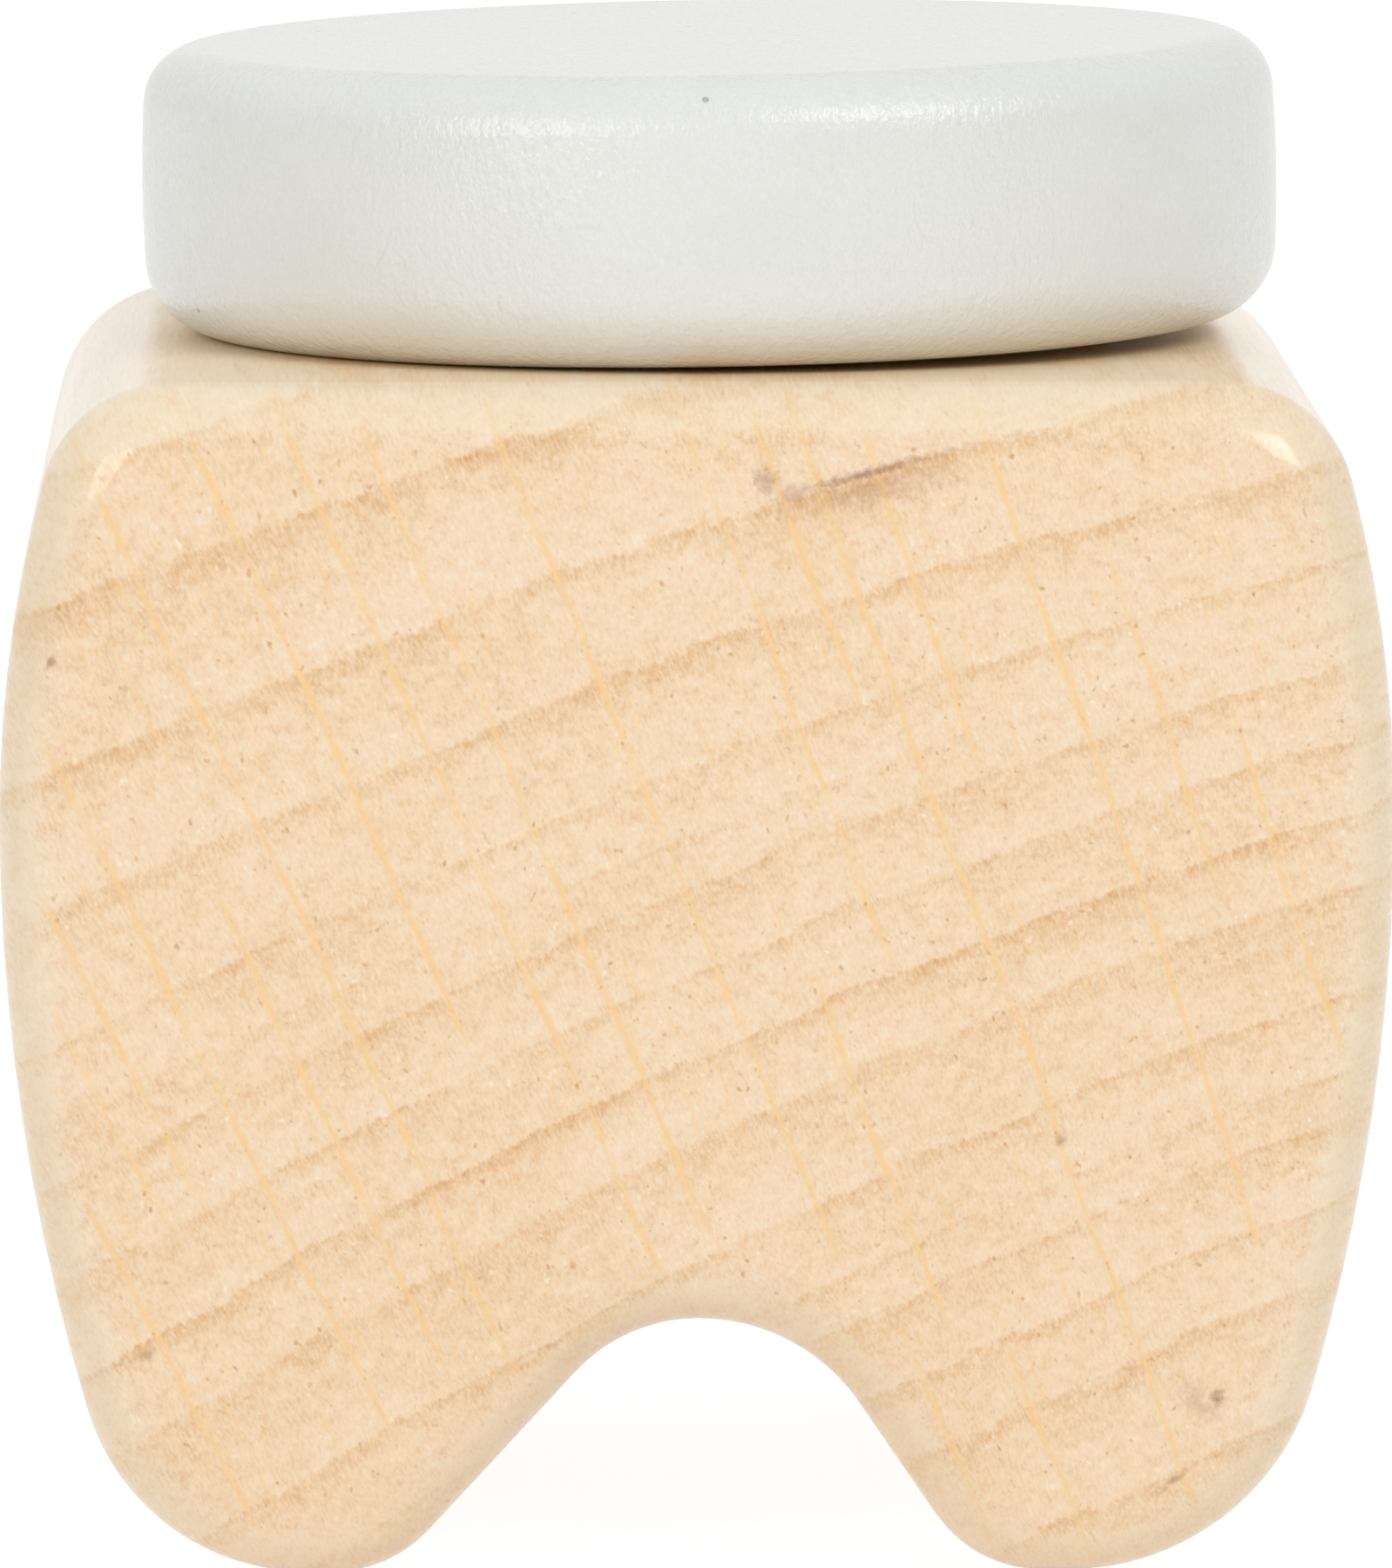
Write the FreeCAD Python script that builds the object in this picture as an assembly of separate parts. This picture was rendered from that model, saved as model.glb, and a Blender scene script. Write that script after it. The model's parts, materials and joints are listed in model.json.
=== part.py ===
"""Wooden baby tooth box: a tooth-shaped block with a bored hollow and a push-in lid.

Millimetres, +Z up, front towards -Y, origin under the middle of the block on the surface it stands on.
"""
import math
import os

import FreeCAD
import Part
from FreeCAD import Vector

# Tooth block, overall
body_width = 50.0
body_depth = 49.5
body_height = 42.9

# Outline of the tooth, seen from the front
widest_height = 27.1            # where the flanks bulge out most
crown_flank_radius = 48.3       # flank above that height
root_flank_radius = 74.7        # flank below it
shoulder_radius = 4.8
edge_radius = 2.8               # rounding of the front and back edges

# Roots and the arch between them
arch_height = 9.15
arch_width = 13.65              # clear width between the roots at half the arch's height
left_root_slope = 47.3          # steepness of each root's inner side, degrees
right_root_slope = 55.7
toe_radius = 4.6                # inner rounding of each toe
toe_flat = 1.0                  # strip that each root stands on

# Hollow for the teeth
bore_diameter = 30.0
bore_offset = 1.0               # drilled a little to the right of the middle
floor_thickness = 6.0           # wood between the hollow and the top of the arch
hollow_corner_radius = 2.0
mouth_chamfer = 0.6

# Lid disc, and how it sits
lid_diameter = 41.9
lid_thickness = 10.55
lid_side_radius = 52.0          # the side is turned slightly barrelled
lid_top_radius = 2.15
lid_bottom_radius = 2.75
lid_tilt = 1.05                 # degrees, pushed in askew
lid_low_side = 25.0             # degrees, where it sits lowest, from the left towards the front
seat_clearance = 0.02           # left under the low side

# Plug glued under the lid
plug_length = 7.0               # below the lid disc
plug_recess = 1.5               # let into the lid disc
plug_chamfer = 0.8
plug_clearance = 0.4            # to the wall of the bore
glue_clearance = 0.05           # to the wall of the recess

# Rubber ring in the plug's groove
ring_section = 2.0
ring_clearance = 0.05           # to the bore, and to the floor of the groove
groove_side_clearance = 0.15

# Sizes that follow from the ones above
half_width = body_width / 2
bore_radius = bore_diameter / 2
hollow_floor = arch_height + floor_thickness
lid_radius = lid_diameter / 2
plug_radius = bore_radius - plug_clearance
ring_outer_radius = bore_radius - ring_clearance
groove_radius = ring_outer_radius - ring_section - ring_clearance
groove_width = ring_section + 2 * groove_side_clearance
ring_depth = plug_length / 2    # halfway down the plug


def line(start_x, start_z, end_x, end_z):
    """Straight edge in the front plane."""
    return Part.LineSegment(Vector(start_x, 0, start_z), Vector(end_x, 0, end_z)).toShape()


def arc(centre_x, centre_z, radius, start, end):
    """Round edge in the front plane, from one angle to another."""
    points = []
    for angle in (start, (start + end) / 2, end):
        points.append(Vector(centre_x + radius * math.cos(angle), 0, centre_z + radius * math.sin(angle)))
    return Part.Arc(*points).toShape()


def closed_face(edges):
    """Flat face inside edges that join end to end."""
    return Part.Face(Part.Wire(Part.__sortEdges__(edges)))


def rounding_centre(side_x, side_z, side_radius, radius, z):
    """Distance from the axis to the centre of a rounding that meets a bulging side smoothly.

    The side is an arc whose outermost point is (side_x, side_z); the rounding's centre is at height z.
    """
    reach = side_radius - radius
    return side_x - side_radius + math.sqrt(reach ** 2 - (z - side_z) ** 2)


def root_sizes(slope):
    """Radii and places of one root's toe and of its half of the arch."""
    half_run = arch_height / 2 / math.tan(slope)
    foot = arch_width / 2 + half_run
    toe_inner = foot + toe_radius * math.tan(slope / 2)
    toe_outer = toe_inner + toe_flat
    from_flank_centre = toe_outer - (half_width - root_flank_radius)
    rest = root_flank_radius ** 2 - from_flank_centre ** 2 - widest_height ** 2
    toe_outer_radius = rest / (2 * (root_flank_radius - widest_height))
    arch_radius = (arch_width / 2 - half_run) / math.tan(slope / 2)
    return toe_inner, toe_outer, toe_outer_radius, arch_radius


def half_outline(slope):
    """Right half of the tooth's outline, from the middle of the top round to the top of the arch."""
    shoulder_z = body_height - shoulder_radius
    shoulder_x = rounding_centre(half_width, widest_height, crown_flank_radius, shoulder_radius, shoulder_z)
    crown_x = half_width - crown_flank_radius
    crown_end = math.atan2(shoulder_z - widest_height, shoulder_x - crown_x)
    toe_inner, toe_outer, toe_outer_radius, arch_radius = root_sizes(slope)
    root_x = half_width - root_flank_radius
    root_end = math.atan2(toe_outer_radius - widest_height, toe_outer - root_x)
    straight_down = -math.pi / 2
    toe_end_x = toe_inner - toe_radius * math.sin(slope)
    toe_end_z = toe_radius * (1 - math.cos(slope))
    arch_start_x = arch_radius * math.sin(slope)
    arch_start_z = arch_height - arch_radius * (1 - math.cos(slope))
    return [
        line(0, body_height, shoulder_x, body_height),
        arc(shoulder_x, shoulder_z, shoulder_radius, math.pi / 2, crown_end),
        arc(crown_x, widest_height, crown_flank_radius, crown_end, 0),
        arc(root_x, widest_height, root_flank_radius, 0, root_end),
        arc(toe_outer, toe_outer_radius, toe_outer_radius, root_end, straight_down),
        line(toe_outer, 0, toe_inner, 0),
        arc(toe_inner, toe_radius, toe_radius, straight_down, straight_down - slope),
        line(toe_end_x, toe_end_z, arch_start_x, arch_start_z),
        arc(0, arch_height - arch_radius, arch_radius, math.pi / 2 - slope, math.pi / 2),
    ]


def tooth_block():
    """Tooth outline carried from front to back, with its front and back edges rounded over."""
    left_slope = math.radians(left_root_slope)
    right_slope = math.radians(right_root_slope)
    edges = half_outline(right_slope)
    for edge in half_outline(left_slope):
        edges.append(edge.mirror(Vector(0, 0, 0), Vector(1, 0, 0)))
    block = closed_face(edges).extrude(Vector(0, body_depth, 0))
    block.translate(Vector(0, -body_depth / 2, 0))
    front_and_back = []
    for face in block.Faces:
        if abs(face.normalAt(0, 0).y) > 0.99:
            front_and_back += face.Edges
    tightest = min(shoulder_radius, toe_radius, root_sizes(left_slope)[2], root_sizes(right_slope)[2])
    rounding = min(edge_radius, 0.9 * tightest)
    return block.makeFillet(rounding, front_and_back)


def hollow():
    """Round space bored down into the tooth, with a rounded floor corner and an eased mouth."""
    corner_x = bore_radius - hollow_corner_radius
    corner_z = hollow_floor + hollow_corner_radius
    mouth_z = body_height - mouth_chamfer
    above = body_height + mouth_chamfer
    profile = closed_face([
        line(0, above, 0, hollow_floor),
        line(0, hollow_floor, corner_x, hollow_floor),
        arc(corner_x, corner_z, hollow_corner_radius, -math.pi / 2, 0),
        line(bore_radius, corner_z, bore_radius, mouth_z),
        line(bore_radius, mouth_z, bore_radius + 2 * mouth_chamfer, above),
        line(bore_radius + 2 * mouth_chamfer, above, 0, above),
    ])
    space = profile.revolve(Vector(0, 0, 0), Vector(0, 0, 1), 360)
    space.translate(Vector(bore_offset, 0, 0))
    return space


def lid_disc():
    """Turned disc with rounded rims and a shallow recess underneath for the plug."""
    middle = lid_thickness / 2
    low_x = rounding_centre(lid_radius, middle, lid_side_radius, lid_bottom_radius, lid_bottom_radius)
    high_z = lid_thickness - lid_top_radius
    high_x = rounding_centre(lid_radius, middle, lid_side_radius, lid_top_radius, high_z)
    side_x = lid_radius - lid_side_radius
    side_low = math.atan2(lid_bottom_radius - middle, low_x - side_x)
    side_high = math.atan2(high_z - middle, high_x - side_x)
    recess_radius = plug_radius + glue_clearance
    profile = closed_face([
        line(0, plug_recess, recess_radius, plug_recess),
        line(recess_radius, plug_recess, recess_radius, 0),
        line(recess_radius, 0, low_x, 0),
        arc(low_x, lid_bottom_radius, lid_bottom_radius, -math.pi / 2, side_low),
        arc(side_x, middle, lid_side_radius, side_low, side_high),
        arc(high_x, high_z, lid_top_radius, side_high, math.pi / 2),
        line(high_x, lid_thickness, 0, lid_thickness),
        line(0, lid_thickness, 0, plug_recess),
    ])
    return profile.revolve(Vector(0, 0, 0), Vector(0, 0, 1), 360)


def lid_plug():
    """Round plug, glued into the lid's recess, with a groove for the ring and a chamfered end."""
    groove_top = -ring_depth + groove_width / 2
    groove_bottom = -ring_depth - groove_width / 2
    profile = closed_face([
        line(0, plug_recess, plug_radius, plug_recess),
        line(plug_radius, plug_recess, plug_radius, groove_top),
        line(plug_radius, groove_top, groove_radius, groove_top),
        line(groove_radius, groove_top, groove_radius, groove_bottom),
        line(groove_radius, groove_bottom, plug_radius, groove_bottom),
        line(plug_radius, groove_bottom, plug_radius, plug_chamfer - plug_length),
        line(plug_radius, plug_chamfer - plug_length, plug_radius - plug_chamfer, -plug_length),
        line(plug_radius - plug_chamfer, -plug_length, 0, -plug_length),
        line(0, -plug_length, 0, plug_recess),
    ])
    return profile.revolve(Vector(0, 0, 0), Vector(0, 0, 1), 360)


def seal_ring():
    """Rubber ring of round section that grips the wall of the bore."""
    section_radius = ring_section / 2
    return Part.makeTorus(ring_outer_radius - section_radius, section_radius, Vector(0, 0, -ring_depth))


def seat_in_bore(piece):
    """Lean a piece of the lid about the middle of its ring and lower it until the disc's rim lands."""
    tilt = math.radians(lid_tilt)
    low_side = math.radians(lid_low_side)
    lean_axis = Vector(math.sin(low_side), -math.cos(low_side), 0)
    middle = lid_thickness / 2
    low_x = rounding_centre(lid_radius, middle, lid_side_radius, lid_bottom_radius, lid_bottom_radius)
    rim_height = (ring_depth + lid_bottom_radius) * math.cos(tilt) - low_x * math.sin(tilt) - lid_bottom_radius
    ring_height = body_height + seat_clearance - rim_height
    piece.rotate(Vector(0, 0, -ring_depth), lean_axis, lid_tilt)
    piece.translate(Vector(bore_offset, 0, ring_height + ring_depth))
    return piece


def main():
    pieces = {
        "tooth_body": tooth_block().cut(hollow()),
        "lid_disc": seat_in_bore(lid_disc()),
        "lid_plug": seat_in_bore(lid_plug()),
        "seal_ring": seat_in_bore(seal_ring()),
    }
    os.makedirs("parts", exist_ok=True)
    for name, piece in pieces.items():
        piece.exportStep(f"parts/{name}.step")
        box = piece.optimalBoundingBox(False)
        low = f"({box.XMin:.2f}, {box.YMin:.2f}, {box.ZMin:.2f})"
        high = f"({box.XMax:.2f}, {box.YMax:.2f}, {box.ZMax:.2f})"
        print(name, len(piece.Solids), piece.isValid(), round(piece.Volume, 1), low, high)


main()
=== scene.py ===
"""Looks of the wooden baby tooth box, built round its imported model."""
import json
import math

import bmesh
import bpy
from mathutils import Matrix, Vector


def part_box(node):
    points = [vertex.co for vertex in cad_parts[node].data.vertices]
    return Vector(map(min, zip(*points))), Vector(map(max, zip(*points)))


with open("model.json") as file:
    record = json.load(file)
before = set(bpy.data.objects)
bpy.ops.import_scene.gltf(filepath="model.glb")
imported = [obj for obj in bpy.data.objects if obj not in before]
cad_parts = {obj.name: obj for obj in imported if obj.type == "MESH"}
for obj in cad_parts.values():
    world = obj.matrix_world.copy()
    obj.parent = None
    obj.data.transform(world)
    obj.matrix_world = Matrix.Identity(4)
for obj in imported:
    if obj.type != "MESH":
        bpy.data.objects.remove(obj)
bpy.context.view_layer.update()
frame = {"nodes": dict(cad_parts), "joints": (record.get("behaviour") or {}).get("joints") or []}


# Tooth block: one piece of pale, close-grained hardwood under a thin clear satin lacquer.
# Its fibres run from front to back, so its face is end grain: growth rings rise across it to the right,
# thin rays cross them, and the rounded edges turn to long grain. Its round hollow is bored and bare.
millimetre = 0.001                    # in metres; patterns and marks on the pieces are sized in mm
pith = (97.5, -213.6)                 # x and z of the point that the rays come from
ring_distance = 255.0                 # of the block's middle from the pith
ring_slope = 0.5745                   # rise of the rings at the block's middle
ring_bow = 0.00411                    # bend of the rings, which flatten to the right
ring_spread = 0.0066                  # by which they draw together to the right, per mm
ring_spread_bow = 0.00004             # by which that slows down

# Each growth ring: the height of its dark end at the block's middle, and its strength
rings = (
    (-13.5, 0.6), (-9.0, 0.65), (-5.0, 0.75), (0.2, 0.65), (3.3, 0.75), (6.6, 0.5), (8.5, 0.4),
    (11.7, 0.75), (16.1, 0.6), (19.05, 0.95), (22.2, 0.65), (25.3, 0.6), (27.1, 0.3), (29.6, 0.6),
    (33.8, 0.7), (38.1, 0.85), (43.3, 0.85), (47.1, 0.6), (51.0, 0.6),
)

# Each large ray: its place along the rings, and the height of its lower and upper end
rays = (
    (-123.4, 3, 13), (-121.2, 13, 20), (-119.7, 14, 25), (-117.3, 6, 31), (-114.4, 8, 24),
    (-112.1, 7, 42), (-108.6, 20, 42), (-105.7, 12, 42), (-103.4, 13, 43), (-99.4, 12, 42),
    (-98.1, 0, 8), (-96.4, 10, 21), (-94.6, 0, 9), (-93.5, 23, 43), (-91.3, 32, 43),
    (-90.0, 3, 43), (-88.1, 30, 41), (-84.2, 13, 42), (-81.5, 26, 36), (-79.1, 19, 31),
)

# End grain on the faces, and long grain on the rounded edges, top and sides, from pale to dark, sRGB;
# the long grain is also made paler as a painted sheen, the white surround that those surfaces mirror
face_wood = (
    (0.0, (248, 231, 208)),
    (0.35, (241, 213, 179)),
    (0.65, (227, 185, 138)),
    (1.0, (199, 146, 95)),
)
long_wood_and_sheen = (
    (0.0, (247, 233, 207)),
    (0.35, (243, 221, 189)),
    (0.65, (234, 202, 159)),
    (1.0, (212, 170, 120)),
)
ray_wood = (246, 206, 146)
fleck_wood = (206, 152, 88)           # open pores
stain_wood = (146, 84, 54)
hollow_wood = (229, 199, 160)         # bare wood in the hollow

# Each stain in the front: x and z of its middle, half its length and height, rise (degrees), strength
stains = (
    (5.8, 39.8, 4.2, 0.32, 16.0, 0.65),
    (6.2, 39.3, 4.8, 0.95, 13.0, 0.28),
    (2.4, 39.6, 0.8, 0.75, 0.0, 0.5),
    (3.4, 39.1, 1.3, 0.6, 20.0, 0.35),
    (18.5, 6.6, 0.5, 0.5, 0.0, 0.65),
    (17.9, 6.4, 1.5, 0.85, -50.0, 0.27),
    (17.0, 3.6, 1.1, 0.22, 38.0, 0.45),
    (-19.75, 8.2, 0.5, 0.4, 30.0, 0.4),
    (-23.1, 33.1, 0.35, 0.22, 60.0, 0.6),
    (12.9, 15.9, 0.4, 0.35, -40.0, 0.45),
)
stain_depth = 4.0                     # by which a stain fades into the wood
stain_tooth = 0.3                     # size of the teeth of its ragged edge
front_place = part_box("tooth_body")[0].y / millimetre

# The bore stands a little right of the block's middle, where the lid's axis passes through its ring
lid_turn = next(joint for joint in frame["joints"] if joint["name"] == "lid_turn")
hollow_axis = lid_turn["pos_m"][0] / millimetre
hollow_radius = 15.15                 # just outside its wall
hollow_height = (14.0, 42.25)         # from under its floor to just under its eased mouth
tool_mark_size = (0.25, 1.0, 0.25)    # out from the axis, round it and up

# Sizes of the grain's patterns along the rings, across them and along the fibres
ring_wave_size = (7.0, 20.0, 60.0)    # broad sway of the rings
ring_jag_size = (0.25, 0.5, 6.0)      # teeth of their ends
ring_part_size = (2.5, 1.5, 20.0)     # stretches where they are stronger or fainter
hatch_size = (0.11, 0.5, 4.0)
ray_wave_size = (6.0, 7.0, 15.0)
ray_width_size = (2.0, 2.0, 3.0)      # stretches where a large ray is broader or narrower
ray_part_size = (2.5, 2.5, 4.0)       # stretches where it is stronger or fainter
fine_ray_wave_size = (4.0, 4.0, 8.0)
fine_ray_part_size = (0.8, 3.5, 2.0)  # length of a fine ray
fibre_size = (0.12, 0.26, 3.0)
blotch_size = (0.7, 0.6, 8.0)
patch_size = (8.0, 4.0, 40.0)
pore_size = (0.28, 0.42, 6.0)
pore_cluster_size = (1.5, 1.2, 12.0)

# Finish: how far end grain and long grain show the patterns, and how the lacquer shines
ray_strength = 0.8
fleck_strength = 0.7
grain_contrast = (0.4, 1.0)           # of rays, pores and relief, in long grain and in end grain
wood_roughness = (0.4, 0.7)
wood_gloss = 0.2
wood_relief = (0.5, 0.02)             # strength and depth
pore_depth = -0.15                    # where the relief of the fibres is 1
tool_mark_depth = 3.0                 # likewise, in the hollow
lacquer_weight = (0.1, 0.7)           # on the flat faces and on the rounded edges
lacquer_roughness = 0.13


def linear(colour):
    """sRGB colour of 0 to 255 as the linear colour that a shader socket takes."""
    channels = []
    for value in colour:
        share = value / 255
        channels.append(share / 12.92 if share <= 0.04045 else ((share + 0.055) / 1.055) ** 2.4)
    return (*channels, 1.0)


def add_node(tree, kind, inputs=(), **settings):
    """New shader node with its settings made and its inputs set or linked."""
    made = tree.nodes.new(kind)
    for name, value in settings.items():
        setattr(made, name, value)
    for socket, value in dict(inputs).items():
        if isinstance(value, bpy.types.NodeSocket):
            tree.links.new(value, made.inputs[socket])
        else:
            made.inputs[socket].default_value = value
    return made


def calculate(tree, operation, *values):
    """Result of one math node."""
    return add_node(tree, "ShaderNodeMath", enumerate(values), operation=operation).outputs[0]


def ease(tree, value, low, high):
    """0 below low, 1 above high and a smooth step between, or the other way round if low is larger."""
    inputs = {"Value": value, "From Min": low, "From Max": high}
    made = add_node(tree, "ShaderNodeMapRange", inputs, interpolation_type="SMOOTHSTEP")
    return made.outputs["Result"]


def between(tree, share, low, high):
    """Value that goes from low to high with the share."""
    return calculate(tree, "MULTIPLY_ADD", share, high - low, low)


def mix_colours(tree, share, first, second):
    """Colour that goes from the first to the second with the share."""
    inputs = {0: share, 6: first, 7: second}
    return add_node(tree, "ShaderNodeMix", inputs, data_type="RGBA").outputs[2]


def stretch(tree, vector, sizes):
    """Vector divided by a size along each axis, so that a pattern of unit size is that large."""
    steps = tuple(1 / size for size in sizes)
    return add_node(tree, "ShaderNodeVectorMath", {0: vector, 1: steps}, operation="MULTIPLY").outputs[0]


def in_millimetres(tree, place):
    """Place in metres as a place in mm."""
    return stretch(tree, place, (millimetre, millimetre, millimetre))


def noise(tree, vector, sizes, detail=2.0, roughness=0.5):
    """Soft noise of 0 to 1, about the given size along each axis."""
    place = stretch(tree, vector, sizes)
    inputs = {"Vector": place, "Scale": 1.0, "Detail": detail, "Roughness": roughness}
    return add_node(tree, "ShaderNodeTexNoise", inputs).outputs["Fac"]


def sway(tree, vector, sizes, reach):
    """Soft noise that swings both ways, by about a quarter of the reach."""
    return between(tree, noise(tree, vector, sizes), -reach / 2, reach / 2)


def ramp(tree, value, stops):
    """Colour read off a ramp of (place, sRGB colour) stops."""
    made = add_node(tree, "ShaderNodeValToRGB", {"Fac": value})
    elements = made.color_ramp.elements
    elements[0].color = linear(stops[0][1])
    elements[-1].color = linear(stops[-1][1])
    for place, colour in stops[1:-1]:
        elements.new(place).color = linear(colour)
    return made.outputs["Color"]


def curve_through(tree, value, spots):
    """Value read off a line through spots of (place, value), all from 0 to 1."""
    made = add_node(tree, "ShaderNodeFloatCurve", {"Value": value})
    curve = made.mapping.curves[0]
    curve.points[0].location = spots[0]
    curve.points[-1].location = spots[-1]
    for spot in spots[1:-1]:
        curve.points.new(*spot)
    for point in curve.points:
        point.handle_type = "VECTOR"
    made.mapping.update()
    return made.outputs[0]


def ring_height(tree, x, z):
    """Height at which the ring through a place crosses the block's middle."""
    slope = calculate(tree, "MULTIPLY_ADD", x, ring_bow, -ring_slope)
    spread = calculate(tree, "MULTIPLY_ADD", x, ring_spread_bow, -ring_spread)
    level = calculate(tree, "MULTIPLY_ADD", x, slope, z)
    return calculate(tree, "DIVIDE", level, calculate(tree, "MULTIPLY_ADD", x, spread, 1.0))


def large_rays(tree, along, z, grain):
    """Mask of the rays that run across many rings, each a thin soft line that tapers at both ends."""
    wander = 0.6                      # a ray swings by about a quarter of this
    broadest = 0.44                   # from the middle of the broadest ray to its faint edge
    taper = 0.12                      # by which a ray narrows past its end, per mm
    far_off = 10.0                    # farther than any ray reaches
    strengths = (0.35, 1.0)
    drift = calculate(tree, "ADD", along, sway(tree, grain, ray_wave_size, wander))
    nearest = far_off
    for place, low, high in rays:
        aside = calculate(tree, "ABSOLUTE", calculate(tree, "SUBTRACT", drift, place))
        from_middle = calculate(tree, "ABSOLUTE", calculate(tree, "SUBTRACT", z, (low + high) / 2))
        past_end = calculate(tree, "SUBTRACT", from_middle, (high - low) / 2)
        beyond = calculate(tree, "MAXIMUM", past_end, 0.0)
        aside = calculate(tree, "MULTIPLY_ADD", beyond, taper, aside)
        nearest = calculate(tree, "MINIMUM", aside, nearest)
    half_width = calculate(tree, "MULTIPLY", noise(tree, grain, ray_width_size), broadest)
    line = ease(tree, nearest, half_width, 0.0)
    part = ease(tree, noise(tree, grain, ray_part_size), 0.25, 0.65)
    return calculate(tree, "MULTIPLY", line, between(tree, part, *strengths))


def fine_rays(tree, along, grain):
    """Mask of the many short, hair-fine rays between the large ones."""
    wander = 0.4                      # a ray swings by about a quarter of this
    spacing = 0.8
    clear_width = 0.04                # half the width of a ray's clear middle, per spacing
    faint_width = 0.11                # half its width at the faint edges
    drift = calculate(tree, "ADD", along, sway(tree, grain, fine_ray_wave_size, wander))
    cells = {"W": calculate(tree, "DIVIDE", drift, spacing), "Scale": 1.0}
    kind = {"voronoi_dimensions": "1D", "feature": "DISTANCE_TO_EDGE"}
    aside = add_node(tree, "ShaderNodeTexVoronoi", cells, **kind).outputs["Distance"]
    part = ease(tree, noise(tree, grain, fine_ray_part_size), 0.52, 0.66)
    return calculate(tree, "MULTIPLY", ease(tree, aside, faint_width, clear_width), part)


def ring_stray(tree, along, grain):
    """Height by which a ring leaves its course: it steps from place to place, sways and is jagged."""
    step_length = 2.6
    step_height = 0.3
    wave_reach = 0.8                  # a ring sways by about a quarter of this
    jag_reach = 0.45
    cells = {"W": calculate(tree, "DIVIDE", along, step_length), "Scale": 1.0}
    cell = add_node(tree, "ShaderNodeTexVoronoi", cells, voronoi_dimensions="1D").outputs["Color"]
    chance = add_node(tree, "ShaderNodeSeparateColor", {0: cell}).outputs[0]
    step = between(tree, chance, -step_height / 2, step_height / 2)
    wave = sway(tree, grain, ring_wave_size, wave_reach)
    jag = sway(tree, grain, ring_jag_size, jag_reach)
    return calculate(tree, "ADD", calculate(tree, "ADD", step, wave), jag)


def late_wood(tree, height, grain):
    """Darkness of the rings, each of which darkens towards its end in a soft band and a thin line."""
    band_strength = 0.3
    line_strength = 0.13
    hatch_strengths = (0.58, 1.08)
    part_strengths = (0.45, 0.95)
    line_start = (0.72, 0.92)         # share of a ring where its line begins and where it is full
    end_fade = (1.0, 0.93)            # share where the darkness is gone, and where it begins to go
    lowest = rings[0][0]
    span = rings[-1][0] - lowest
    last = len(rings) - 1
    counts = []
    strengths = []
    for index, (ring_end, ring_strength) in enumerate(rings):
        place = (ring_end - lowest) / span
        counts.append((place, index / last))
        strengths.append((place, ring_strength))
    share = calculate(tree, "DIVIDE", calculate(tree, "SUBTRACT", height, lowest), span)
    count = calculate(tree, "MULTIPLY", curve_through(tree, share, counts), float(last))
    within = calculate(tree, "FRACT", count)
    band = calculate(tree, "MULTIPLY", calculate(tree, "POWER", within, 2.0), band_strength)
    line = calculate(tree, "MULTIPLY", ease(tree, within, *line_start), line_strength)
    before_end = ease(tree, within, *end_fade)
    dark = calculate(tree, "MULTIPLY", calculate(tree, "ADD", band, line), before_end)

    # The fibres hatch it finely, and it is stronger in some places than in others
    hatch = ease(tree, noise(tree, grain, hatch_size, 3.0, 0.6), 0.3, 0.7)
    part = ease(tree, noise(tree, grain, ring_part_size), 0.25, 0.65)
    here = between(tree, part, *part_strengths)
    strength = calculate(tree, "MULTIPLY", curve_through(tree, share, strengths), here)
    dark = calculate(tree, "MULTIPLY", dark, between(tree, hatch, *hatch_strengths))
    return calculate(tree, "MULTIPLY", dark, strength)


def mottled(tree, tone, fibre, grain):
    """Tone with the wood's mottling: fine grains, blotches of a millimetre and broad soft patches."""
    mean = 0.5
    fibre_strength = 0.72
    blotch_strength = 0.45
    patch_strength = 0.3
    blotch = noise(tree, grain, blotch_size)
    patch = noise(tree, grain, patch_size)
    mottles = ((fibre, fibre_strength), (blotch, blotch_strength), (patch, patch_strength))
    for mottle, most in mottles:
        from_mean = calculate(tree, "SUBTRACT", mottle, mean)
        tone = calculate(tree, "MULTIPLY_ADD", from_mean, most, tone)
    return tone


def pore_masks(tree, grain):
    """Masks of open pores, fine tubes along the fibres, and of pale spots: a painted highlight of
    lacquer-filled pores that catch the light.
    """
    crowded = (0.4, 0.64)             # noise where pores begin to show, and where all of them do
    open_edge = (0.65, 0.78)          # noise at the edge of an open pore and in its middle
    glint_edge = (0.35, 0.22)        # likewise for a pale spot, a painted pore highlight
    crowd = ease(tree, noise(tree, grain, pore_cluster_size), *crowded)
    pores = noise(tree, grain, pore_size, 1.0)
    open_pores = calculate(tree, "MULTIPLY", crowd, ease(tree, pores, *open_edge))
    pore_glints = calculate(tree, "MULTIPLY", crowd, ease(tree, pores, *glint_edge))
    return open_pores, pore_glints


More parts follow.
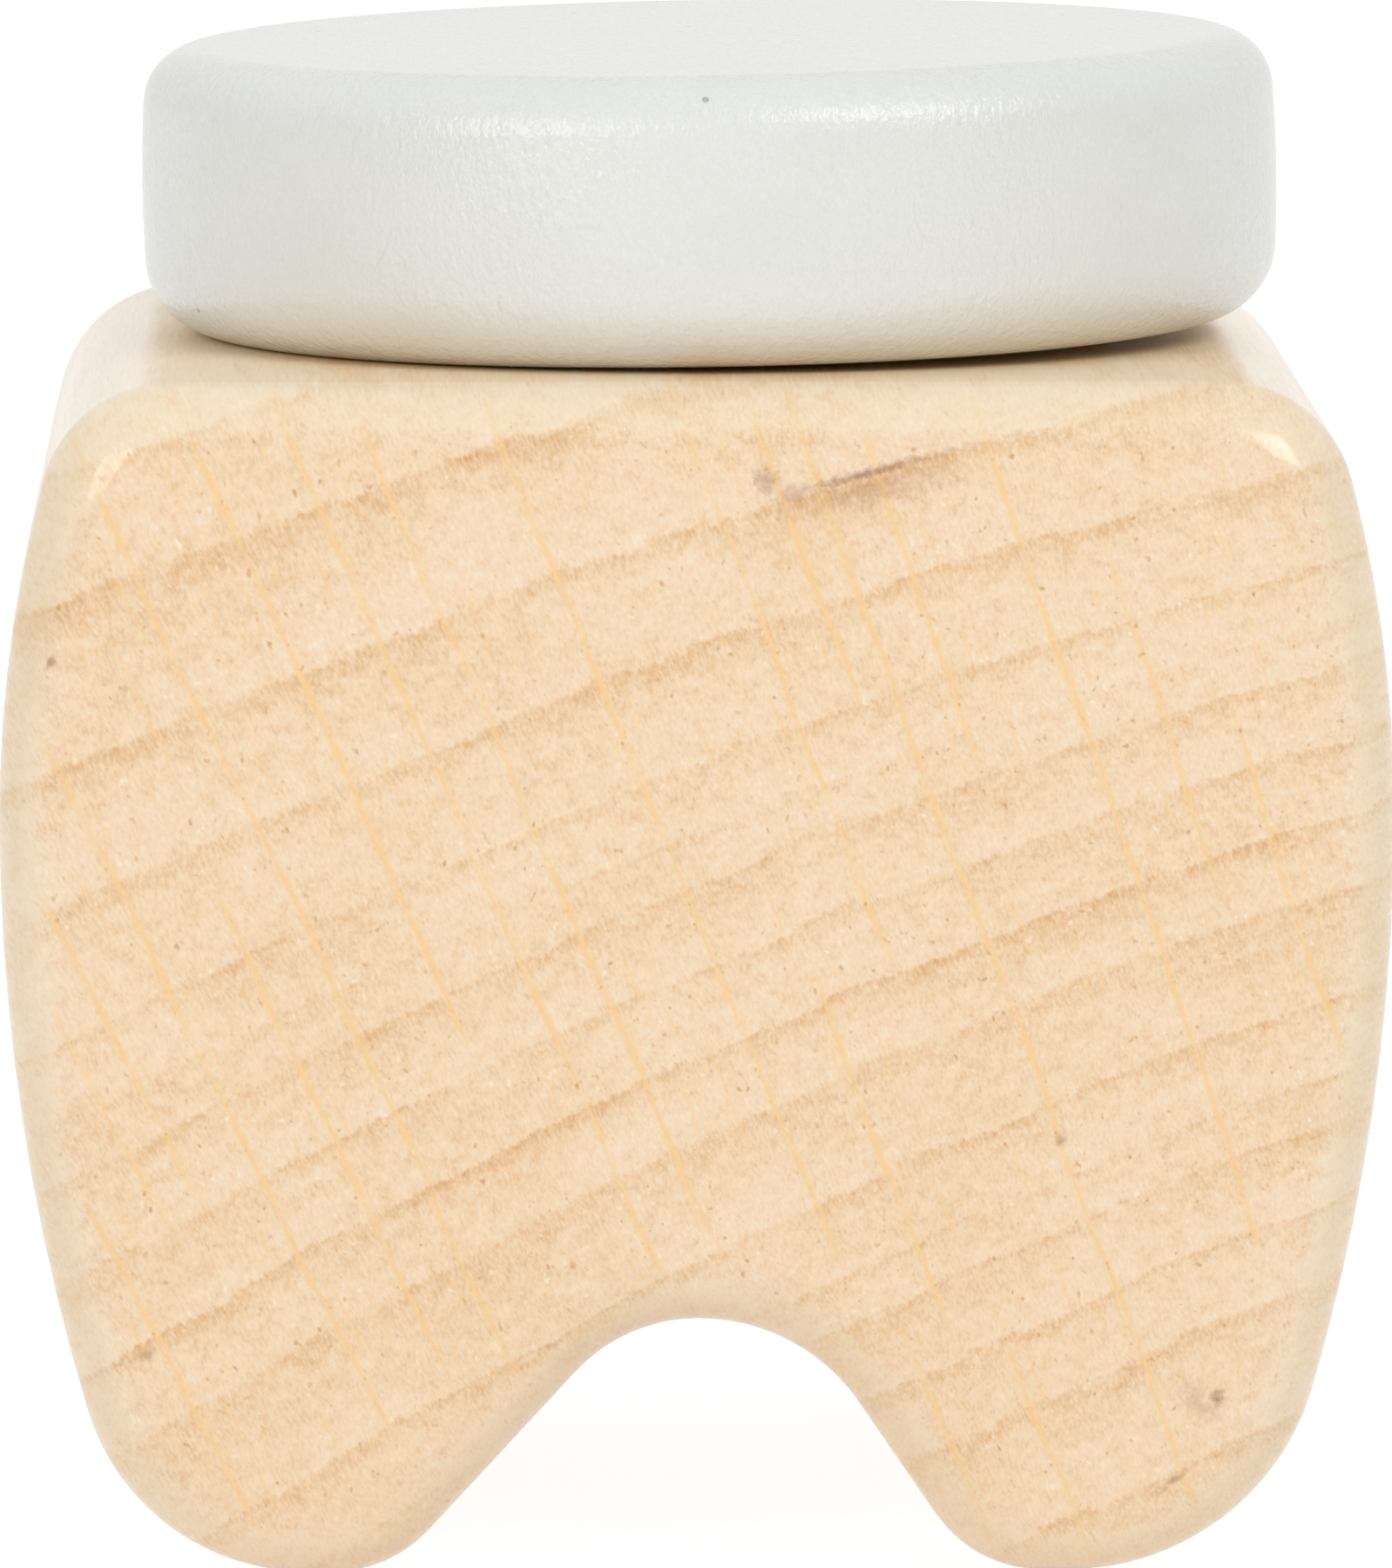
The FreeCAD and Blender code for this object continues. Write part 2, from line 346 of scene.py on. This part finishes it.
def make_wood_grain():
    """Node group that gives the masks of a solid piece of wood from a position in metres."""
    plain_tone = 0.3                  # of the wood between the rings' dark ends
    pore_glint_tone = -0.32          # added at the pale spots: a painted highlight of lacquer-filled pores that catch the light
    fine_ray_strength = 0.5
    tree = bpy.data.node_groups.new("wood_grain", "ShaderNodeTree")
    tree.interface.new_socket("Position", in_out="INPUT", socket_type="NodeSocketVector")
    for name in ("Tone", "Ray", "Fleck", "Fibre"):
        tree.interface.new_socket(name, in_out="OUTPUT", socket_type="NodeSocketFloat")
    given = add_node(tree, "NodeGroupInput").outputs["Position"]

    # Place along the rings, across them and along the fibres
    place = add_node(tree, "ShaderNodeSeparateXYZ", {0: in_millimetres(tree, given)}).outputs
    from_pith_x = calculate(tree, "SUBTRACT", place["X"], pith[0])
    from_pith_z = calculate(tree, "SUBTRACT", place["Z"], pith[1])
    turn = calculate(tree, "ARCTAN2", from_pith_x, from_pith_z)
    along = calculate(tree, "MULTIPLY", turn, ring_distance)
    height = ring_height(tree, place["X"], place["Z"])
    axes = {"X": along, "Y": height, "Z": place["Y"]}
    grain = add_node(tree, "ShaderNodeCombineXYZ", axes).outputs[0]

    short_ray = calculate(tree, "MULTIPLY", fine_rays(tree, along, grain), fine_ray_strength)
    ray = calculate(tree, "MAXIMUM", large_rays(tree, along, place["Z"], grain), short_ray)
    bent_height = calculate(tree, "ADD", height, ring_stray(tree, along, grain))
    fibre = noise(tree, grain, fibre_size, 3.0, 0.65)
    tone = calculate(tree, "ADD", late_wood(tree, bent_height, grain), plain_tone)
    tone = mottled(tree, tone, fibre, grain)
    open_pores, pore_glints = pore_masks(tree, grain)
    # Pale spots painted into the tone: the highlight of lacquer-filled pores that catch the light
    tone = calculate(tree, "MULTIPLY_ADD", pore_glints, pore_glint_tone, tone)
    add_node(tree, "NodeGroupOutput", {"Tone": tone, "Ray": ray, "Fleck": open_pores, "Fibre": fibre})
    return tree


wood_grain = make_wood_grain()


def read_grain(tree, position):
    """Masks of the wood at a position in metres."""
    return add_node(tree, "ShaderNodeGroup", {"Position": position}, node_tree=wood_grain).outputs


def start_material(name):
    """New material with its node tree emptied but for a Principled shader and an output."""
    material = bpy.data.materials.new(name)
    material.use_nodes = True
    tree = material.node_tree
    tree.nodes.clear()
    shader = add_node(tree, "ShaderNodeBsdfPrincipled")
    add_node(tree, "ShaderNodeOutputMaterial", {0: shader.outputs[0]})
    return material, tree, shader


def feed(tree, shader, values):
    """Link values that change over the surface to the shader's inputs."""
    for name, value in values.items():
        tree.links.new(value, shader.inputs[name])


def relief_normal(tree, height, strength, depth):
    """Normal of a surface with a fine relief of the given depth."""
    inputs = {"Height": height, "Strength": strength, "Distance": depth * millimetre}
    return add_node(tree, "ShaderNodeBump", inputs).outputs[0]


def stain_mask(tree, place):
    """Mask of the few small brown stains in the front face, with ragged edges."""
    raggedness = 1.6                  # most that is added to the distance from a stain's middle
    stain_edge = (1.75, 0.7)          # that sum where a stain ends, and where it is full
    ragged = noise(tree, place, (stain_tooth, stain_depth, stain_tooth), 3.0, 0.65)
    total = 0.0
    for x, z, half_length, half_height, rise, strength in stains:
        inputs = {
            "Vector": place,
            "Location": (x, front_place, z),
            "Rotation": (0.0, -math.radians(rise), 0.0),
            "Scale": (half_length, stain_depth, half_height),
        }
        around = add_node(tree, "ShaderNodeMapping", inputs, vector_type="TEXTURE").outputs[0]
        reach = add_node(tree, "ShaderNodeVectorMath", {0: around}, operation="LENGTH").outputs["Value"]
        reach = calculate(tree, "MULTIPLY_ADD", ragged, raggedness, reach)
        stain = calculate(tree, "MULTIPLY", ease(tree, reach, *stain_edge), strength)
        total = calculate(tree, "MAXIMUM", stain, total)
    return total


def hollow_masks(tree, place):
    """Mask of the bored hollow, and the fine marks that the tool left in it."""
    place = add_node(tree, "ShaderNodeSeparateXYZ", {0: place}).outputs
    aside = calculate(tree, "SUBTRACT", place["X"], hollow_axis)
    out = add_node(tree, "ShaderNodeCombineXYZ", {"X": aside, "Y": place["Y"]}).outputs[0]
    out = add_node(tree, "ShaderNodeVectorMath", {0: out}, operation="LENGTH").outputs["Value"]
    inside = calculate(tree, "LESS_THAN", out, hollow_radius)
    above = calculate(tree, "GREATER_THAN", place["Z"], hollow_height[0])
    below = calculate(tree, "LESS_THAN", place["Z"], hollow_height[1])
    inside = calculate(tree, "MULTIPLY", inside, calculate(tree, "MULTIPLY", above, below))
    tool_path = add_node(tree, "ShaderNodeCombineXYZ", {"X": out, "Z": place["Z"]}).outputs[0]
    tool_marks = noise(tree, tool_path, tool_mark_size)
    return inside, tool_marks


def make_tooth_wood():
    """Wood of the block: end grain to the front and back, lacquered outside and bare in the hollow."""
    tone_lead = 0.15                  # by which dark wood turns to long grain later than pale wood
    grain_turn = (0.9, 1.03)          # facing of long grain and of end grain, with that lead added
    flat_turn = (0.96, 0.999)         # facing where a rounded edge ends, and of a flat face
    material, tree, shader = start_material("tooth_wood")
    place = add_node(tree, "ShaderNodeTexCoord").outputs
    grain = read_grain(tree, place["Object"])
    spot = in_millimetres(tree, place["Object"])
    inside, tool_marks = hollow_masks(tree, spot)
    facing = add_node(tree, "ShaderNodeSeparateXYZ", {0: place["Normal"]}).outputs
    towards_face = calculate(tree, "ABSOLUTE", facing["Y"])
    turned = calculate(tree, "MULTIPLY_ADD", grain["Tone"], tone_lead, towards_face)
    end_grain = ease(tree, turned, *grain_turn)
    contrast = between(tree, end_grain, *grain_contrast)

    # Long grain, made paler partly as a painted sheen of the white surround on the rounded edges
    edge_colour_and_sheen = ramp(tree, grain["Tone"], long_wood_and_sheen)
    colour = mix_colours(tree, end_grain, edge_colour_and_sheen, ramp(tree, grain["Tone"], face_wood))
    colour = mix_colours(tree, inside, colour, linear(hollow_wood))
    for name, most, wood in (("Ray", ray_strength, ray_wood), ("Fleck", fleck_strength, fleck_wood)):
        share = calculate(tree, "MULTIPLY", calculate(tree, "MULTIPLY", grain[name], most), contrast)
        colour = mix_colours(tree, share, colour, linear(wood))
    colour = mix_colours(tree, stain_mask(tree, spot), colour, linear(stain_wood))

    # The rounded edges were sanded finest and shine most, and the flat faces are duller
    flat_top = ease(tree, facing["Z"], *flat_turn)
    flat_face = ease(tree, towards_face, *flat_turn)
    rounded = calculate(tree, "SUBTRACT", 1.0, calculate(tree, "MAXIMUM", flat_top, flat_face))
    outside = calculate(tree, "SUBTRACT", 1.0, inside)
    lacquer = calculate(tree, "MULTIPLY", between(tree, rounded, *lacquer_weight), outside)
    shader.inputs["Coat Roughness"].default_value = lacquer_roughness
    shader.inputs["Specular IOR Level"].default_value = wood_gloss
    roughness = between(tree, grain["Fibre"], *wood_roughness)
    relief = calculate(tree, "MULTIPLY_ADD", grain["Fleck"], pore_depth, grain["Fibre"])
    relief = calculate(tree, "MULTIPLY", relief, contrast)
    marks = calculate(tree, "MULTIPLY", inside, calculate(tree, "MULTIPLY", tool_marks, tool_mark_depth))
    normal = relief_normal(tree, calculate(tree, "ADD", relief, marks), *wood_relief)
    values = {"Base Color": colour, "Coat Weight": lacquer, "Roughness": roughness, "Normal": normal}
    feed(tree, shader, values)
    return material


def dress(node, material):
    """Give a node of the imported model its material."""
    mesh = frame["nodes"][node].data
    mesh.materials.clear()
    mesh.materials.append(material)


dress("tooth_body", make_tooth_wood())


# Lid disc: turned wood under satin paint in a pale warm grey, glued to its plug.
# The paint has a fine skin with slightly upright marks, a few hairline scuffs and a few specks of dust.
paint_low_and_shade = (222, 224, 219)           # darker paint: painted shade in the hollows of its fine skin, where a fine noise is low
paint_high_and_light = (235, 236, 232)
scuff_colour = (212, 211, 206)
scuff_strength = 0.35
speck_colour = (176, 174, 168)
speck_strength = 0.7
speck_spacing = 2.0
speck_share = 0.2                     # of the places at that spacing that hold a speck
speck_reach = (0.07, 0.03)            # of its faint edge and of its dark middle, per spacing
cloud_size = (5.0, 5.0, 3.0)          # soft changes of the paint's tone
cloud_reach = 0.4
skin_size = (0.12, 0.12, 0.16)
stroke_size = (0.3, 0.3, 0.5)
scuff_size = (4.0, 4.0, 7.0)          # of the noise that draws the scuffs
scuff_part_size = (3.0, 3.0, 2.0)     # length of a scuff
scuff_edge = (0.004, 0.001)           # how near to its middle value their noise is in them
paint_roughness = (0.12, 0.32)
paint_relief = (0.8, 0.1)             # strength and depth


def make_lid_paint():
    """Satin paint of the lid."""
    material, tree, shader = start_material("lid_paint")
    place = in_millimetres(tree, add_node(tree, "ShaderNodeTexCoord").outputs["Object"])
    cloud = sway(tree, place, cloud_size, cloud_reach)
    # Painted light and shade of the paint's fine skin: a fine noise, with the soft tone changes, mixes
    # the darker and the lighter paint
    skin = noise(tree, place, skin_size, 2.0, 0.6)
    shade = calculate(tree, "ADD", skin, cloud)
    colour = mix_colours(tree, shade, linear(paint_low_and_shade), linear(paint_high_and_light))

    # A scuff is the thin line where a broad noise crosses its middle value, here and there
    swirl = calculate(tree, "SUBTRACT", noise(tree, place, scuff_size, 1.0), 0.5)
    hairline = ease(tree, calculate(tree, "ABSOLUTE", swirl), *scuff_edge)
    here = ease(tree, noise(tree, place, scuff_part_size), 0.56, 0.68)
    scuff = calculate(tree, "MULTIPLY", calculate(tree, "MULTIPLY", hairline, here), scuff_strength)
    colour = mix_colours(tree, scuff, colour, linear(scuff_colour))

    cells = {"Vector": stretch(tree, place, (speck_spacing,) * 3), "Scale": 1.0}
    dust = add_node(tree, "ShaderNodeTexVoronoi", cells).outputs
    chance = add_node(tree, "ShaderNodeSeparateColor", {0: dust["Color"]}).outputs[0]
    chosen = calculate(tree, "LESS_THAN", chance, speck_share)
    speck = calculate(tree, "MULTIPLY", ease(tree, dust["Distance"], *speck_reach), chosen)
    speck_mask = calculate(tree, "MULTIPLY", speck, speck_strength)
    colour = mix_colours(tree, speck_mask, colour, linear(speck_colour))

    strokes = noise(tree, place, stroke_size, 3.0, 0.6)
    roughness = between(tree, strokes, *paint_roughness)
    normal = relief_normal(tree, calculate(tree, "ADD", strokes, speck), *paint_relief)
    feed(tree, shader, {"Base Color": colour, "Roughness": roughness, "Normal": normal})
    return material


dress("lid_disc", make_lid_paint())


# Plug: bare sanded hardwood, turned with the fibres along its axis, glued into the lid's recess.
# A groove round it takes the ring, and the lathe leaves fine rings on its side.
plug_wood = (230, 201, 162)
plug_dark_wood = (203, 162, 115)
plug_ray_wood = (232, 196, 146)
plug_ray_strength = 0.6
plug_fleck_strength = 0.5
plug_cut = (0.0, 0.0, 0.027)          # shift to the place in the wood that it was cut from, m
plug_roughness = (0.5, 0.8)
plug_relief = (0.5, 0.03)             # strength and depth
lathe_mark_size = (20.0, 20.0, 0.2)   # rings round the plug, close together along it


def make_plug_wood():
    """Bare turned wood of the plug."""
    material, tree, shader = start_material("plug_wood")
    place = add_node(tree, "ShaderNodeTexCoord").outputs["Object"]
    fibres_up = (math.radians(90), 0.0, 0.0)
    inputs = {"Vector": place, "Location": plug_cut, "Rotation": fibres_up}
    grain = read_grain(tree, add_node(tree, "ShaderNodeMapping", inputs).outputs[0])
    colour = mix_colours(tree, grain["Tone"], linear(plug_wood), linear(plug_dark_wood))
    ray = calculate(tree, "MULTIPLY", grain["Ray"], plug_ray_strength)
    colour = mix_colours(tree, ray, colour, linear(plug_ray_wood))
    fleck = calculate(tree, "MULTIPLY", grain["Fleck"], plug_fleck_strength)
    colour = mix_colours(tree, fleck, colour, linear(plug_dark_wood))
    roughness = between(tree, grain["Fibre"], *plug_roughness)
    lathe_marks = noise(tree, in_millimetres(tree, place), lathe_mark_size, 1.0)
    normal = relief_normal(tree, calculate(tree, "ADD", lathe_marks, grain["Fibre"]), *plug_relief)
    feed(tree, shader, {"Base Color": colour, "Roughness": roughness, "Normal": normal})
    return material


dress("lid_plug", make_plug_wood())


# Seal ring: a dark rubber ring of round section, stretched into the plug's groove.
# It is matt, a little dusty, and has a fine mould line round its middle, square to the lid's axis.
rubber_colour = (46, 41, 38)
rubber_dust = (78, 71, 65)
dust_size = (1.2, 1.2, 0.5)
rubber_grain_size = (0.1, 0.1, 0.1)
rubber_grain_depth = 0.4              # where the mould line is 1 high
ring_middle = tuple(value / millimetre for value in lid_turn["pos_m"])
ring_axis = tuple(lid_turn["axis"])
mould_line_width = (0.06, 0.03)       # half of it, at its foot and at its top
rubber_roughness = (0.5, 0.75)
rubber_relief = (0.6, 0.03)           # strength and depth


def make_seal_rubber():
    """Matt dark rubber of the ring."""
    material, tree, shader = start_material("seal_rubber")
    place = in_millimetres(tree, add_node(tree, "ShaderNodeTexCoord").outputs["Object"])
    dust = ease(tree, noise(tree, place, dust_size, 4.0, 0.65), 0.45, 0.75)
    colour = mix_colours(tree, dust, linear(rubber_colour), linear(rubber_dust))
    roughness = between(tree, dust, *rubber_roughness)
    inputs = {0: place, 1: ring_middle}
    apart = add_node(tree, "ShaderNodeVectorMath", inputs, operation="SUBTRACT").outputs[0]
    inputs = {0: apart, 1: ring_axis}
    up = add_node(tree, "ShaderNodeVectorMath", inputs, operation="DOT_PRODUCT")
    mould_line = ease(tree, calculate(tree, "ABSOLUTE", up.outputs["Value"]), *mould_line_width)
    rough = noise(tree, place, rubber_grain_size)
    relief = calculate(tree, "MULTIPLY_ADD", rough, rubber_grain_depth, mould_line)
    normal = relief_normal(tree, relief, *rubber_relief)
    feed(tree, shader, {"Base Color": colour, "Roughness": roughness, "Normal": normal})
    return material


dress("seal_ring", make_seal_rubber())


# Studio: a white table top and a pale wall, lit from above and behind and by two soft lamps in front.
# To the camera the table top is white but for a faint shadow, and it is clear from below;
# the light that it throws back is plain. Sizes and places here are in metres.
floor_size = 3.0
floor_gap = 0.00001                   # keeps the table top and the feet out of one plane
floor_glow = 0.93                     # how white the camera sees it in full shadow, where 1 is white
floor_shade = 0.2                     # share of the light on it that the camera sees besides
floor_grey = 0.95                     # share of the light that it throws back
room_level = 0.15                     # light from the room in front
wall_level = 0.82                     # light from above and behind
wall_slant = 0.6                      # by which that light comes from behind
wall_rise = (0.0, 0.9)                # where it begins, and where it is full
mirror_turn = (-0.2, 0.3)             # towards the back, where a mirrored room turns white
lamp_size = 0.68
lamp_aim = Vector((0.0, 0.0, 0.027))  # middle of the box
left_lamp_place = (-0.86, -1.24, 0.55)
left_lamp_watts = 7.9
right_lamp_place = (0.85, -1.1, 1.0)
right_lamp_watts = 9.6
light_passes = 12                     # between the pale surfaces under the lid and under the arch


def grey(level):
    """Colour of a grey level."""
    return (level, level, level, 1.0)


def make_floor_white():
    """White of the table top, which shows the box's shadow faintly."""
    material = bpy.data.materials.new("floor_white")
    material.use_nodes = True
    tree = material.node_tree
    tree.nodes.clear()
    glow = add_node(tree, "ShaderNodeEmission", {"Color": grey(1.0), "Strength": floor_glow})
    shade = add_node(tree, "ShaderNodeBsdfDiffuse", {"Color": grey(floor_shade)})
    seen = add_node(tree, "ShaderNodeAddShader", {0: glow.outputs[0], 1: shade.outputs[0]})
    plain = add_node(tree, "ShaderNodeBsdfDiffuse", {"Color": grey(floor_grey)})
    path = add_node(tree, "ShaderNodeLightPath").outputs
    looked_at = calculate(tree, "MAXIMUM", path["Is Camera Ray"], path["Is Glossy Ray"])
    parts = {0: looked_at, 1: plain.outputs[0], 2: seen.outputs[0]}
    from_above = add_node(tree, "ShaderNodeMixShader", parts)
    clear = add_node(tree, "ShaderNodeBsdfTransparent")
    from_below = add_node(tree, "ShaderNodeNewGeometry").outputs["Backfacing"]
    parts = {0: from_below, 1: from_above.outputs[0], 2: clear.outputs[0]}
    sided = add_node(tree, "ShaderNodeMixShader", parts)
    add_node(tree, "ShaderNodeOutputMaterial", {0: sided.outputs[0]})
    return material


def make_floor():
    """Table top that the box stands on."""
    mesh = bpy.data.meshes.new("floor")
    shape = bmesh.new()
    lowered = Matrix.Translation((0.0, 0.0, -floor_gap))
    bmesh.ops.create_grid(shape, x_segments=1, y_segments=1, size=floor_size, matrix=lowered)
    shape.to_mesh(mesh)
    shape.free()
    floor = bpy.data.objects.new("floor", mesh)
    bpy.context.scene.collection.objects.link(floor)
    mesh.materials.append(make_floor_white())


def make_surround():
    """World that is white to the camera and lights the box softly from above and behind."""
    world = bpy.data.worlds.new("studio")
    bpy.context.scene.world = world
    world.use_nodes = True
    tree = world.node_tree
    tree.nodes.clear()
    path = add_node(tree, "ShaderNodeLightPath").outputs
    direction = add_node(tree, "ShaderNodeTexCoord").outputs["Generated"]
    direction = add_node(tree, "ShaderNodeSeparateXYZ", {0: direction}).outputs
    rise = calculate(tree, "MULTIPLY_ADD", direction["Y"], wall_slant, direction["Z"])
    wall = ease(tree, rise, *wall_rise)
    level = between(tree, wall, room_level, wall_level)
    behind = ease(tree, direction["Y"], *mirror_turn)
    mirrored = calculate(tree, "MULTIPLY", path["Is Glossy Ray"], behind)
    white = calculate(tree, "MAXIMUM", path["Is Camera Ray"], mirrored)
    level = calculate(tree, "MAXIMUM", level, white)
    surround = add_node(tree, "ShaderNodeBackground", {"Color": grey(1.0), "Strength": level})
    add_node(tree, "ShaderNodeOutputWorld", {0: surround.outputs[0]})


def add_lamp(name, place, watts):
    """Square soft lamp aimed at the middle of the box."""
    data = bpy.data.lights.new(name, "AREA")
    data.shape = "SQUARE"
    data.size = lamp_size
    data.energy = watts
    lamp = bpy.data.objects.new(name, data)
    lamp.location = place
    lamp.rotation_mode = "QUATERNION"
    lamp.rotation_quaternion = (lamp_aim - Vector(place)).to_track_quat("-Z", "Y")
    bpy.context.scene.collection.objects.link(lamp)


make_floor()
make_surround()
add_lamp("left_lamp", left_lamp_place, left_lamp_watts)
add_lamp("right_lamp", right_lamp_place, right_lamp_watts)


# Camera: a long lens a little to the left of the box's middle and a little above it.
# Its place was fitted to the photograph's outline of the block and the lid.
camera_place = Vector((-0.011775, -0.635898, 0.095950))
camera_target = Vector((0.000363, 0.0, 0.026023))
camera_data = bpy.data.cameras.new("camera")
camera_data.sensor_width = 36.0
camera_data.lens = 396.04
camera = bpy.data.objects.new("camera", camera_data)
camera.location = camera_place
camera.rotation_mode = "QUATERNION"
camera.rotation_quaternion = (camera_target - camera_place).to_track_quat("-Z", "Y")
bpy.context.scene.collection.objects.link(camera)
bpy.context.scene.camera = camera
bpy.context.scene.view_settings.view_transform = "Standard"
bpy.context.scene.cycles.diffuse_bounces = light_passes
